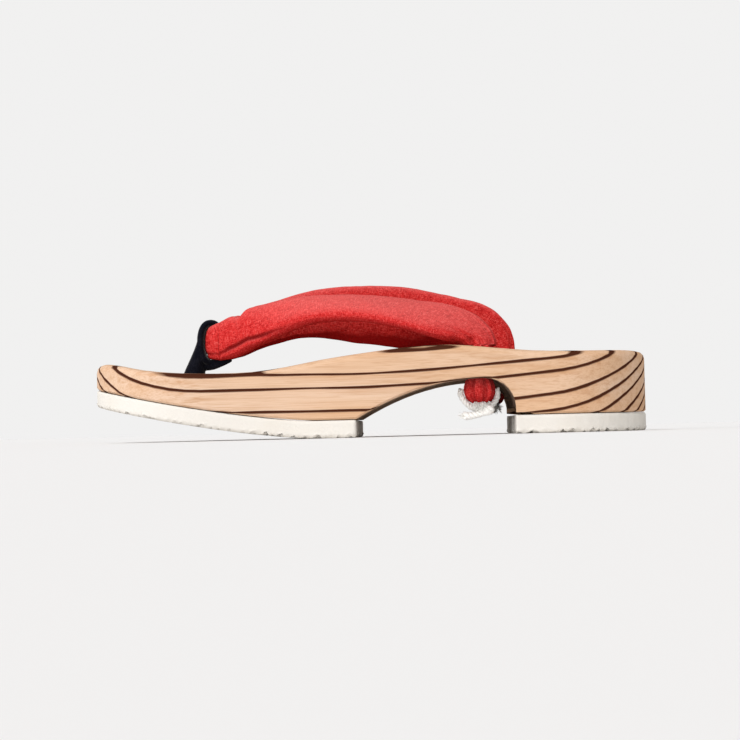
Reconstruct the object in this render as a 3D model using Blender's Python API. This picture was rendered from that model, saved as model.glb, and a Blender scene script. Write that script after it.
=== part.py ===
"""Left geta sandal: a carved wooden body on two rubber soles, with a padded strap and a soft thong.

The toe points along -X, the wearer's left is -Y, and the floor is at Z 0 under the middle of the body.
Lengths called "along" are measured back from the tip of the toe. Sizes are in metres.
"""

import math

import bmesh
import bpy
import numpy as np
from mathutils import Vector

# Plan of the body
LENGTH = 0.240
BALL_WIDTH = 0.095
HEEL_WIDTH = 0.0772
TOE_CAP = 0.0572
TOE_SQUARENESS = 2.39
HEEL_CAP = 0.0434
HEEL_SQUARENESS = 2.25
WAIST_START = 0.120
WAIST_POWER = 1.5

# Side profile of the body, with heights over the floor
CREST_HEIGHT = 0.0378
BED_DISH = 0.0010
FOREFOOT_SOLE = 0.0076
HEEL_SOLE = 0.0080
TOE_SPRING = 0.016
SPRING_LENGTH = 0.096
SPRING_POWER = 1.4
FOREFOOT_LENGTH = 0.1148
HEEL_LENGTH = 0.0585
ARCH_HEIGHT = 0.0236
ARCH_CORNER_LENGTH = 0.013
ARCH_CORNER_DROP = 0.0136
TOP_ROUND = 0.0030
BOTTOM_ROUND = 0.0008
SOLE_ROUND = 0.0005

# Holes through the body
FRONT_HOLE_ALONG = 0.042
FRONT_HOLE_RADIUS = 0.0052
REAR_HOLE_TO_HEEL = 0.0145
REAR_HOLE_RADIUS = 0.0058
REAR_HOLE_INSET = 0.0165
REAR_HOLE_OUT = BALL_WIDTH / 2 - REAR_HOLE_INSET
FAR_HOLE_SET_BACK = 0.008

# Padded strap
NOSE_SET_BACK = 0.0126
NOSE_BEND_RADIUS = 0.0045
NOSE_THICKNESS = 0.0056
NOSE_HEIGHT = 0.0142
NOSE_FLOOR = -0.0008
STRAP_RISE = 0.0264
STRAP_THICKNESS = 0.0085
FAR_STRAP_TURN = math.radians(55)
FAR_STRAP_SPREAD = 0.16
FAR_STRAP_SWEEP = 0.0022
FAR_STRAP_LIFT = 0.0020
FAR_STRAP_SWELL = 1.5
FAR_CROWN_RISE = 0.0030
FAR_CROWN_START = 0.72
FAR_REAR_LIFT = 0.3
BULB_LENGTH = 0.0106
BULB_WIDTH = 0.0137

# Soft thong and tie cords
THONG_WIDTH = 0.0095
THONG_THICKNESS = 0.0030
LOOP_BOXINESS = 0.88
LOOP_BACK = 0.72
LOOP_SQUARENESS = 2.6
STEM_SQUARENESS = 2.2
TIE_THICKNESS = 0.0026
TIE_END_LENGTH = 0.0105
TIE_REST = 0.8

CLEARANCE = 0.0003

# Height of the bed's edge along the body, as shares of the length and of the crest height
BED_LINE = (
    ("along", "height"),
    (0.000, 0.885),
    (0.025, 0.898),
    (0.060, 0.868),
    (0.100, 0.812),
    (0.160, 0.765),
    (0.240, 0.744),
    (0.310, 0.757),
    (0.350, 0.789),
    (0.420, 0.867),
    (0.500, 0.935),
    (0.560, 0.977),
    (0.620, 1.000),
    (0.670, 0.988),
    (0.730, 0.949),
    (0.790, 0.915),
    (0.880, 0.903),
    (0.960, 0.906),
    (1.000, 0.898),
)

# Sections of the strap from its fold to its hole: the lower edge, the upper edge and the thickness.
# Along is a share of the way from the fold to the hole, out a share of the hole's distance from the
# middle, up a share of the strap's rise over the bed at the hole, thick a share of the thickness.
STRAP_SECTIONS = (
    ("low_along", "low_out", "low_up", "high_along", "high_out", "high_up", "thick"),
    (0.050, 0.25, -0.04, 0.050, 0.23, 0.66, 0.76),
    (0.085, 0.33, 0.00, 0.082, 0.28, 0.645, 0.83),
    (0.130, 0.43, 0.09, 0.120, 0.34, 0.77, 0.90),
    (0.190, 0.58, 0.20, 0.185, 0.39, 0.82, 0.96),
    (0.262, 0.77, 0.34, 0.262, 0.43, 0.87, 1.00),
    (0.342, 0.97, 0.48, 0.360, 0.46, 0.89, 1.00),
    (0.440, 1.13, 0.54, 0.457, 0.49, 0.88, 1.00),
    (0.546, 1.24, 0.53, 0.573, 0.54, 0.85, 1.00),
    (0.644, 1.32, 0.45, 0.689, 0.60, 0.80, 1.00),
    (0.733, 1.36, 0.34, 0.795, 0.66, 0.735, 0.98),
    (0.808, 1.35, 0.23, 0.902, 0.71, 0.665, 0.95),
    (0.866, 1.30, 0.15, 0.990, 0.76, 0.52, 0.90),
    (0.905, 1.22, 0.11, 1.043, 0.83, 0.30, 0.90),
    (0.927, 1.15, 0.08, 1.062, 0.88, 0.14, 0.96),
    (0.943, 1.10, 0.03, 1.066, 0.92, 0.025, 1.05),
)

# How far the fold's lower and upper edges flare where it meets a leg, as shares of its height
FOLD_FLARE = (0.07, 0.12)

# Sections of the strap's end below the arch: down is a share of the bulb's length, forward and
# width are shares of the bulb's width. Only the far bulb leans forward, off the heel's face.
BULB_SECTIONS = (
    ("down", "forward", "width"),
    (0.10, 0.02, 0.84),
    (0.35, 0.06, 0.94),
    (0.60, 0.06, 0.93),
    (0.85, 0.05, 0.75),
    (1.00, 0.04, 0.42),
)

# Stem of the thong from the mouth of the front hole to the loop: along and up are shares of the
# way to the loop, and depth and width shares of the hole's diameter.
STEM_SECTIONS = (
    ("along", "up", "depth", "width"),
    (0.00, -0.10, 0.92, 0.92),
    (0.06, 0.06, 0.90, 0.92),
    (0.42, 0.42, 0.66, 0.92),
    (0.80, 0.80, 0.42, 0.90),
    (1.00, 1.10, 0.24, 0.86),
)

# Tie cord round a bulb: across is a share of the bulb's width from the hole, down of its length
TIE_ROUTE = (
    ("across", "down"),
    (-0.57, 0.42),
    (-0.60, 0.60),
    (-0.52, 0.82),
    (-0.29, 1.13),
    (0.02, 1.24),
    (0.33, 1.15),
    (0.56, 0.82),
    (0.63, 0.60),
    (0.60, 0.42),
)

# Knot and loose end of a tie cord: across is a share of the end's length from the hole, down a
# share of the bulb's length, and thick a share of the cord's thickness
TIE_END_ROUTE = (
    ("across", "down", "thick"),
    (0.52, 1.22, 0.90),
    (0.42, 1.24, 1.50),
    (0.27, 1.29, 1.60),
    (0.12, 1.37, 1.15),
    (-0.12, 1.46, 0.95),
    (-0.40, 1.52, 1.00),
    (-0.66, 1.53, 1.15),
)

RING_POINTS = 20
STRAP_STEPS = 3
CAP_STEPS = 13
CORNER_STEPS = 7
BODY_SPACING = 0.0075
ARCH_SPACING = 0.005
HOLE_SIDES = 24
FOLD_STEPS = 8
LOOP_POINTS = 28

NEAR = -1
FAR = 1


def new_scene():
    """Empty the file, so that only the sandal is in it."""
    for item in list(bpy.data.objects):
        bpy.data.objects.remove(item, do_unlink=True)


def material(name, colour, roughness):
    """A plain finish of one colour."""
    made = bpy.data.materials.new(name)
    made.use_nodes = True
    shader = made.node_tree.nodes["Principled BSDF"]
    shader.inputs["Base Color"].default_value = (*colour, 1.0)
    shader.inputs["Roughness"].default_value = roughness
    shader.inputs["Metallic"].default_value = 0.0
    return made


def add_object(name, verts, faces, finish, smooth_angle=35):
    """One closed mesh object, with doubled points merged and its faces pointing out."""
    mesh = bpy.data.meshes.new(name)
    shape = bmesh.new()
    points = [shape.verts.new(vert) for vert in verts]
    for face in faces:
        shape.faces.new([points[index] for index in face])
    bmesh.ops.remove_doubles(shape, verts=shape.verts, dist=1e-6)
    bmesh.ops.triangulate(shape, faces=[face for face in shape.faces if len(face.verts) > 3])
    bmesh.ops.recalc_face_normals(shape, faces=shape.faces)
    shape.to_mesh(mesh)
    shape.free()
    mesh.shade_smooth()
    mesh.set_sharp_from_angle(angle=math.radians(smooth_angle))
    made = bpy.data.objects.new(name, mesh)
    bpy.context.scene.collection.objects.link(made)
    made.data.materials.append(finish)
    return made


def skin(rings, closed=False):
    """Faces between rings of as many points each, with a cap on both ends unless it closes."""
    count = len(rings[0])
    verts = [point for ring in rings for point in ring]
    faces = []
    last = len(rings) if closed else len(rings) - 1
    for row in range(last):
        here = row * count
        there = (row + 1) % len(rings) * count
        for place in range(count):
            after = (place + 1) % count
            faces.append((here + place, here + after, there + after, there + place))
    if not closed:
        faces.append(tuple(reversed(range(count))))
        faces.append(tuple(range((len(rings) - 1) * count, len(rings) * count)))
    return verts, faces


def smooth_rows(rows, steps):
    """Rows of numbers on a smooth curve through the given rows, with steps between each two."""
    table = np.array(rows, dtype=float)
    padded = np.vstack([2 * table[0] - table[1], table, 2 * table[-1] - table[-2]])
    made = []
    for index in range(len(table) - 1):
        before, start, end, after = padded[index : index + 4]
        for step in range(steps):
            share = step / steps
            made.append(
                start
                + 0.5 * share * (end - before)
                + share**2 * (before - 2.5 * start + 2 * end - 0.5 * after)
                + share**3 * (1.5 * start - 1.5 * end + 0.5 * after - 0.5 * before)
            )
    made.append(table[-1])
    return made


def smooth_height(rows, at):
    """Height of a smooth curve through rows of (along, height)."""
    along = [row[0] for row in rows]
    index = int(np.clip(np.searchsorted(along, at) - 1, 0, len(rows) - 2))
    slopes = np.gradient([row[1] for row in rows], along)
    span = along[index + 1] - along[index]
    share = np.clip((at - along[index]) / span, 0, 1)
    start, end = rows[index][1], rows[index + 1][1]
    bend_in = slopes[index] * span
    bend_out = slopes[index + 1] * span
    return (
        start
        + bend_in * share
        + (3 * (end - start) - 2 * bend_in - bend_out) * share**2
        + (bend_in + bend_out - 2 * (end - start)) * share**3
    )


def half_width(along):
    """Half the plan width of the body."""
    waist = max(0.0, (along - WAIST_START) / (LENGTH - WAIST_START))
    base = (BALL_WIDTH + (HEEL_WIDTH - BALL_WIDTH) * waist**WAIST_POWER) / 2
    toe = min(1.0, max(0.0, 1 - along / TOE_CAP))
    heel = min(1.0, max(0.0, 1 - (LENGTH - along) / HEEL_CAP))
    toe_share = (1 - toe**TOE_SQUARENESS) ** (1 / TOE_SQUARENESS)
    heel_share = (1 - heel**HEEL_SQUARENESS) ** (1 / HEEL_SQUARENESS)
    return base * toe_share * heel_share


def bed_height(along):
    """Height of the bed's edge over the floor."""
    return CREST_HEIGHT * smooth_height(BED_LINE[1:], along / LENGTH)


def wood_bottom(along):
    """Height of the body's underside: the toe spring, the arch and the flat heel."""
    if along <= FOREFOOT_LENGTH:
        rise = max(0.0, 1 - along / SPRING_LENGTH) ** SPRING_POWER
        return FOREFOOT_SOLE + TOE_SPRING * rise
    heel_start = LENGTH - HEEL_LENGTH
    if along >= heel_start:
        return HEEL_SOLE
    corner_start = heel_start - ARCH_CORNER_LENGTH
    if along >= corner_start:
        share = (along - corner_start) / ARCH_CORNER_LENGTH
        return ARCH_HEIGHT - ARCH_CORNER_DROP * (1 - math.sqrt(1 - share**2))
    share = (along - FOREFOOT_LENGTH) / (corner_start - FOREFOOT_LENGTH)
    return FOREFOOT_SOLE + (ARCH_HEIGHT - FOREFOOT_SOLE) * (1 - (1 - share) ** 2)


def sole_top(along):
    """Top face of either rubber sole, a small clearance under the wood."""
    return wood_bottom(along) - CLEARANCE


def sole_bottom(along):
    """Bottom face of either rubber sole, flat on the floor but for the toe spring."""
    thickness = FOREFOOT_SOLE if along <= FOREFOOT_LENGTH else HEEL_SOLE
    return wood_bottom(along) - thickness


def cap_stations(length):
    """Distances from a rounded end, close together at its tip."""
    return [length * (1 - math.cos(math.pi / 2 * step / CAP_STEPS)) for step in range(CAP_STEPS + 1)]


def stations_between(start, end, spacing):
    """Evenly spaced distances from start to end."""
    count = max(1, round((end - start) / spacing))
    return [start + (end - start) * step / count for step in range(count + 1)]


def wood_stations():
    """Distances from the toe at which the body has a section."""
    heel_start = LENGTH - HEEL_LENGTH
    corner_start = heel_start - ARCH_CORNER_LENGTH
    places = cap_stations(TOE_CAP)
    places += stations_between(TOE_CAP, FOREFOOT_LENGTH, BODY_SPACING)
    places += stations_between(FOREFOOT_LENGTH, corner_start, ARCH_SPACING)
    for step in range(1, CORNER_STEPS):
        places.append(corner_start + ARCH_CORNER_LENGTH * math.sin(math.pi / 2 * step / CORNER_STEPS))
    places += [heel_start - 0.1 * CLEARANCE, heel_start]
    places += stations_between(heel_start, LENGTH - HEEL_CAP, BODY_SPACING)
    places += [LENGTH - place for place in cap_stations(HEEL_CAP)]
    return sorted({round(place, 7) for place in places})


def edge_direction(along, square):
    """Inward unit direction of the plan outline on the far side, straight across where it is cut."""
    if square:
        return 0.0, -1.0
    if along < 1e-6:
        return 1.0, 0.0
    if along > LENGTH - 1e-6:
        return -1.0, 0.0
    step = min(1e-5, along / 2, (LENGTH - along) / 2)
    slope = (half_width(along + step) - half_width(along - step)) / (2 * step)
    size = math.hypot(slope, 1)
    return slope / size, -1 / size


def block(stations, top, bottom, top_round, bottom_round, dish, cut_ends):
    """Rings of a block with the body's plan outline, rounded top and bottom edges and a dished top."""
    rings = []
    for along in stations:
        square = along in cut_ends
        inward_along, inward_out = edge_direction(along, square)
        half = half_width(along)
        side = []
        turns = [math.radians(turn) for turn in (90, 60, 30, 0)]
        for turn in turns:
            inset = top_round * (1 - math.cos(turn))
            drop = top_round * (1 - math.sin(turn))
            place = along + inward_along * inset
            side.append((place, max(0.0, half + inward_out * inset), top(place) - drop))
        side.append((along, half, bottom(along) + bottom_round))
        place = along + inward_along * bottom_round
        side.append((place, max(0.0, half + inward_out * bottom_round), bottom(place)))
        depth = dish * half / (BALL_WIDTH / 2)
        ring = []
        for step in range(-3, 4):
            share = step / 4
            inner = side[0]
            ring.append((inner[0], inner[1] * share, inner[2] - depth * (1 - share**2)))
        ring += side
        for step in range(1, -2, -1):
            ring.append((side[-1][0], side[-1][1] * step / 2, side[-1][2]))
        ring += [(point[0], -point[1], point[2]) for point in reversed(side)]
        rings.append([(point[0] - LENGTH / 2, point[1], point[2]) for point in ring])
    return rings


def hole_cutter(name, along, out, radius):
    """A hidden upright cylinder that cuts a hole through the body."""
    bpy.ops.mesh.primitive_cylinder_add(vertices=HOLE_SIDES, radius=radius, depth=2 * CREST_HEIGHT)
    cutter = bpy.context.object
    cutter.name = name
    cutter.location = (along - LENGTH / 2, out, CREST_HEIGHT)
    cutter.hide_render = True
    cutter.display_type = "WIRE"
    return cutter


def rear_hole_along(side):
    """Place of the near or the far rear hole."""
    return LENGTH - HEEL_LENGTH - REAR_HOLE_TO_HEEL + (FAR_HOLE_SET_BACK if side == FAR else 0.0)


def make_body(finish):
    """The carved wooden body with its three holes."""
    rings = block(wood_stations(), bed_height, wood_bottom, TOP_ROUND, BOTTOM_ROUND, BED_DISH, ())
    body = add_object("wooden_body", *skin(rings), finish)
    cutters = [
        hole_cutter("front_hole", FRONT_HOLE_ALONG, 0.0, FRONT_HOLE_RADIUS),
        hole_cutter("near_hole", rear_hole_along(NEAR), NEAR * REAR_HOLE_OUT, REAR_HOLE_RADIUS),
        hole_cutter("far_hole", rear_hole_along(FAR), FAR * REAR_HOLE_OUT, REAR_HOLE_RADIUS),
    ]
    for cutter in cutters:
        cut = body.modifiers.new(cutter.name, "BOOLEAN")
        cut.operation = "DIFFERENCE"
        cut.solver = "EXACT"
        cut.object = cutter


def make_soles(finish):
    """The two sheets of crepe rubber under the body."""
    heel_start = LENGTH - HEEL_LENGTH
    front = [place for place in wood_stations() if place <= FOREFOOT_LENGTH]
    rear = [place for place in wood_stations() if place >= round(heel_start, 7)]
    for name, places, end in (("forefoot_sole", front, front[-1]), ("heel_sole", rear, rear[0])):
        rings = block(places, sole_top, sole_bottom, SOLE_ROUND, SOLE_ROUND, 0.0, (end,))
        add_object(name, *skin(rings), finish)


def section_ring(centre, wide, thick, squareness=2.4):
    """Points of a rounded flat section from its half-width and half-thickness vectors."""
    ring = []
    for step in range(RING_POINTS):
        turn = 2 * math.pi * step / RING_POINTS
        across = math.copysign(abs(math.cos(turn)) ** (2 / squareness), math.cos(turn))
        through = math.copysign(abs(math.sin(turn)) ** (2 / squareness), math.sin(turn))
        ring.append(tuple(centre + wide * across + thick * through))
    return ring


def fold_along():
    """Place of the middle of the bend in the strap's fold."""
    return FRONT_HOLE_ALONG + NOSE_SET_BACK


def fold_height(share):
    """Height of the fold's lower (0) or upper (1) edge."""
    return bed_height(rear_hole_along(NEAR)) + NOSE_FLOOR + share * NOSE_HEIGHT


def fold_end(share):
    """Height of an edge where the fold meets a leg, a little taller than at its front."""
    return fold_height(share) + (2 * share - 1) * FOLD_FLARE[int(share)] * NOSE_HEIGHT


def strap_leg(side):
    """Edges and thickness of the strap's sections from the fold to the hole."""
    hole = rear_hole_along(side)
    bed = bed_height(rear_hole_along(NEAR))
    reach = hole - fold_along()
    start = (0.0, NOSE_BEND_RADIUS / REAR_HOLE_OUT)
    low_up = (fold_end(0) - bed) / STRAP_RISE
    high_up = (fold_end(1) - bed) / STRAP_RISE
    rows = [(*start, low_up, *start, high_up, NOSE_THICKNESS / STRAP_THICKNESS)]
    rows += list(STRAP_SECTIONS[1:])
    made = []
    for row in smooth_rows(rows, STRAP_STEPS):
        low = Vector((fold_along() + row[0] * reach, side * row[1] * REAR_HOLE_OUT, bed + row[2] * STRAP_RISE))
        high = Vector((fold_along() + row[3] * reach, side * row[4] * REAR_HOLE_OUT, bed + row[5] * STRAP_RISE))
        if side == FAR:
            high.x += FAR_STRAP_SWEEP * max(0.0, 1 - 2 * row[5]) * max(0.0, row[3])
        made.append((low, high, row[6] * STRAP_THICKNESS))
    return made


def leg_rings(side):
    """Rings of one leg of the strap, turned on edge on the far side."""
    edges = strap_leg(side)
    if side == FAR:
        for index, (low, high, _) in enumerate(edges):
            share = index / (len(edges) - 1)
            wave = math.sin(2 * math.pi * share)
            lift = FAR_STRAP_LIFT * (max(0.0, wave) + FAR_REAR_LIFT * max(0.0, -wave))
            crown = max(0.0, share - FAR_CROWN_START) / (1 - FAR_CROWN_START)
            low.z += lift
            high.z += lift + FAR_CROWN_RISE * math.sin(math.pi * crown)
    centres = [(low + high) / 2 for low, high, _ in edges]
    rings = []
    for index, (low, high, thickness) in enumerate(edges):
        before = centres[max(0, index - 1)]
        after = centres[min(len(centres) - 1, index + 1)]
        run = (after - before).normalized()
        if index == 0:
            run = Vector((1, 0, 0))
        wide = (high - low) / 2
        if side == FAR:
            swell = math.sin(math.pi * index / (len(edges) - 1)) ** FAR_STRAP_SWELL
            turn = FAR_STRAP_TURN * swell
            wide = wide * math.cos(turn) + wide.cross(run) * math.sin(turn)
            wide = wide * (1 + FAR_STRAP_SPREAD * swell)
        thick = wide.cross(run).normalized() * (thickness / 2)
        rings.append(section_ring(centres[index], wide, thick * side))
    return rings


def end_rings(side):
    """Rings of the strap's round end through its hole and the gathered bulb below it."""
    along = rear_hole_along(side)
    radius = REAR_HOLE_RADIUS - CLEARANCE
    top = ARCH_HEIGHT
    sections = [
        (along, bed_height(along - radius) + CLEARANCE, radius),
        (along, (bed_height(along) + top) / 2, radius),
        (along, top, radius),
    ]
    for down, forward, width in BULB_SECTIONS[1:]:
        shift = forward * BULB_WIDTH if side == FAR else 0.0
        squeeze = (REAR_HOLE_RADIUS + BULB_WIDTH / 2 - shift) / BULB_WIDTH if side == FAR else 1.0
        sections.append((along - shift, top - down * BULB_LENGTH, squeeze * width * BULB_WIDTH / 2))
    rings = []
    for place, height, size in sections:
        centre = Vector((place, side * REAR_HOLE_OUT, height))
        rings.append(section_ring(centre, Vector((size, 0, 0)), Vector((0, size * side, 0)), 2.0))
    return rings


def fold_rings():
    """Rings round the bend of the fold, from the near leg to the far one."""
    rings = []
    for step in range(1, FOLD_STEPS):
        turn = math.pi * step / FOLD_STEPS
        flare = 1 - math.sin(turn)
        low = fold_height(0) + (fold_end(0) - fold_height(0)) * flare
        high = fold_height(1) + (fold_end(1) - fold_height(1)) * flare
        outward = Vector((-math.sin(turn), -math.cos(turn), 0))
        centre = Vector((fold_along(), 0, (low + high) / 2)) + outward * NOSE_BEND_RADIUS
        wide = Vector((0, 0, (high - low) / 2))
        rings.append(section_ring(centre, wide, outward * (NOSE_THICKNESS / 2)))
    return rings


def make_strap(finish):
    """The padded strap, one tube from the near bulb over the fold to the far bulb."""
    near = leg_rings(NEAR) + end_rings(NEAR)
    far = leg_rings(FAR) + end_rings(FAR)
    rings = list(reversed(near)) + fold_rings() + far
    rings = [[(point[0] - LENGTH / 2, point[1], point[2]) for point in ring] for ring in rings]
    add_object("strap", *skin(rings), finish, 50)


def thong_loop_rings():
    """Rings of the thong's loop, which hugs the fold and narrows between the strap's legs."""
    along = fold_along() - NOSE_BEND_RADIUS
    height = (fold_height(0) + fold_height(1)) / 2
    gap = CLEARANCE + THONG_THICKNESS / 2
    deep = NOSE_THICKNESS / 2 + gap
    tall = NOSE_HEIGHT / 2 + gap
    narrow = 2 * NOSE_BEND_RADIUS - NOSE_THICKNESS - 2 * CLEARANCE
    rings = []
    for step in range(LOOP_POINTS):
        turn = 2 * math.pi * step / LOOP_POINTS
        across = math.copysign(abs(math.cos(turn)) ** LOOP_BOXINESS, math.cos(turn))
        up = math.copysign(abs(math.sin(turn)) ** LOOP_BOXINESS, math.sin(turn))
        centre = Vector((along + deep * across, 0, height + tall * up))
        outward = Vector((math.cos(turn) / deep, 0, math.sin(turn) / tall)).normalized()
        front = 0.5 - 0.5 * math.cos(turn)
        width = narrow + (THONG_WIDTH - narrow) * min(1.0, 1.5 * front**1.6)
        thick = outward * (THONG_THICKNESS / 2 * (LOOP_BACK + (1 - LOOP_BACK) * front))
        rings.append(section_ring(centre, Vector((0, width / 2, 0)), thick, LOOP_SQUARENESS))
    return rings


def stem_rings():
    """Rings of the thong's stem, from inside the front hole up to the loop."""
    bed = bed_height(FRONT_HOLE_ALONG)
    top_along = fold_along() - NOSE_BEND_RADIUS - NOSE_THICKNESS / 2 - CLEARANCE - THONG_THICKNESS / 2
    rise = (fold_height(0) + fold_height(1)) / 2 - bed
    foot = wood_bottom(FRONT_HOLE_ALONG - FRONT_HOLE_RADIUS)
    rows = [(0.0, (foot - bed) / rise, *STEM_SECTIONS[1][2:])] + smooth_rows(STEM_SECTIONS[1:], 2)
    rings = []
    for along, up, depth, width in rows:
        centre = Vector((FRONT_HOLE_ALONG + along * (top_along - FRONT_HOLE_ALONG), 0, bed + up * rise))
        wide = Vector((0, width * FRONT_HOLE_RADIUS, 0))
        thick = Vector((depth * FRONT_HOLE_RADIUS, 0, 0))
        rings.append(section_ring(centre, wide, thick, STEM_SQUARENESS))
    return rings


def make_thong(finish):
    """The soft thong: its loop round the fold joined to its stem in the front hole."""
    shift = Vector((-LENGTH / 2, 0, 0))
    loop = [[tuple(Vector(point) + shift) for point in ring] for ring in thong_loop_rings()]
    stem = [[tuple(Vector(point) + shift) for point in ring] for ring in stem_rings()]
    thong = add_object("thong", *skin(loop, closed=True), finish, 50)
    tool = add_object("thong_stem", *skin(stem), finish, 50)
    tool.hide_render = True
    tool.display_type = "WIRE"
    join = thong.modifiers.new("stem", "BOOLEAN")
    join.operation = "UNION"
    join.solver = "EXACT"
    join.object = tool


def cord_place(side, across, aside, height):
    """Place by a strap's end: the near cord runs along the sandal and the far one across it."""
    if side == NEAR:
        return rear_hole_along(side) + across, side * REAR_HOLE_OUT - aside, height
    return rear_hole_along(side) - aside, side * REAR_HOLE_OUT + across, height


def make_ties(finish):
    """The cotton cord slung round each bulb, and its knot with a loose end beside it."""
    beside = 0.5 * TIE_THICKNESS * (1 + max(row[2] for row in TIE_END_ROUTE[1:])) + CLEARANCE
    for side, place in ((NEAR, "near"), (FAR, "far")):
        sling = []
        for across, down in smooth_rows(TIE_ROUTE[1:], 3):
            along, out, height = cord_place(side, across * BULB_WIDTH, 0.0, ARCH_HEIGHT - down * BULB_LENGTH)
            height = min(height, wood_bottom(along) - TIE_REST * TIE_THICKNESS - CLEARANCE)
            sling.append((along, out, height, 1.0))
        cord("tie_" + place, sling, finish)
        end = []
        for across, down, thick in smooth_rows(TIE_END_ROUTE[1:], 2):
            height = ARCH_HEIGHT - down * BULB_LENGTH
            end.append((*cord_place(side, across * TIE_END_LENGTH, beside, height), thick))
        cord("tie_end_" + place, end, finish)


def cord(name, points, finish):
    """A round cord through points of (along, out, height, share of the thickness)."""
    curve = bpy.data.curves.new(name, "CURVE")
    curve.dimensions = "3D"
    curve.bevel_depth = TIE_THICKNESS / 2
    curve.bevel_resolution = 2
    curve.use_fill_caps = True
    spline = curve.splines.new("POLY")
    spline.points.add(len(points) - 1)
    for target, (along, out, height, thick) in zip(spline.points, points):
        target.co = (along - LENGTH / 2, out, height, 1)
        target.radius = thick
    made = bpy.data.objects.new(name, curve)
    bpy.context.scene.collection.objects.link(made)
    curve.materials.append(finish)


new_scene()
make_body(material("brushed_cedar", (0.72, 0.50, 0.30), 0.6))
make_soles(material("crepe_rubber", (0.90, 0.87, 0.80), 0.8))
make_strap(material("red_slub_cloth", (0.72, 0.06, 0.06), 0.85))
make_thong(material("black_velvet", (0.01, 0.012, 0.02), 0.95))
make_ties(material("cotton_cord", (0.85, 0.83, 0.80), 0.9))
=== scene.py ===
"""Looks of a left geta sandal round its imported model. Sizes are in metres.

The toe points along -X, the near side is -Y and the floor is at Z 0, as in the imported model.
"""

import math
import random

import bmesh
import bpy
import numpy as np
from mathutils import Matrix, Vector, noise


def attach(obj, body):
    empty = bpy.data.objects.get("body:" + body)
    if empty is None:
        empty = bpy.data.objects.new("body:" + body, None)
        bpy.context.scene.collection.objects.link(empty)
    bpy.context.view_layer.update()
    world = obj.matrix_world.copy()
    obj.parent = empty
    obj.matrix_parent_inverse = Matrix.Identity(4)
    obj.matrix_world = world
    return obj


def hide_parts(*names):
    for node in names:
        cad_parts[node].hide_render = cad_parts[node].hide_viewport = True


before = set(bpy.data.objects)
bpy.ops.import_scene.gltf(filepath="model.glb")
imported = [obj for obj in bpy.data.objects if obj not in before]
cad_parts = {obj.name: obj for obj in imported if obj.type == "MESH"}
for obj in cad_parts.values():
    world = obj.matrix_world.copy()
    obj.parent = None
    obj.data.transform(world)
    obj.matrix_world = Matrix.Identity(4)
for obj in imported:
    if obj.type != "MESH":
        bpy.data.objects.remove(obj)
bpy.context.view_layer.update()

# Studio: a pale floor that runs on into a pale surround, a soft key light from the upper left, a low
# light from the left and one from the front, and a camera just over the floor at the near side.
FRAME_PIXELS = 740
PIXEL_SIZE = 0.0004165
NEAR_SIDE = -0.046
CAMERA_DISTANCE = 0.7907
CAMERA_ASIDE = -0.00014
CAMERA_HEIGHT = 0.003
CAMERA_TURN = 0.0261
CAMERA_TILT = 0.0315
CAMERA_ROLL = 0.0249
CAMERA_CLIP = 0.001
SENSOR = 36
SURROUND = 0.88
SURROUND_COLOUR = (1.0, 0.995, 0.99, 1.0)
OVERHEAD = 0.30
SURROUND_TOP = 0.25
OVERHEAD_START = 0.65
FLOOR_REACH = 6.0
FLOOR_DROP = 0.0001
FLOOR_COLOUR = (0.815, 0.805, 0.80, 1.0)

# Sun lights: turn to the left of the camera and height over the floor, both in degrees
LIGHTS = (
    ("name", "left", "height", "strength", "softness"),
    ("key_light", 34, 60, 2.15, 0.65),
    ("fill_light", 52, 9, 1.10, 0.20),
    ("front_light", 3, 5, 0.60, 0.14),
)


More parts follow.
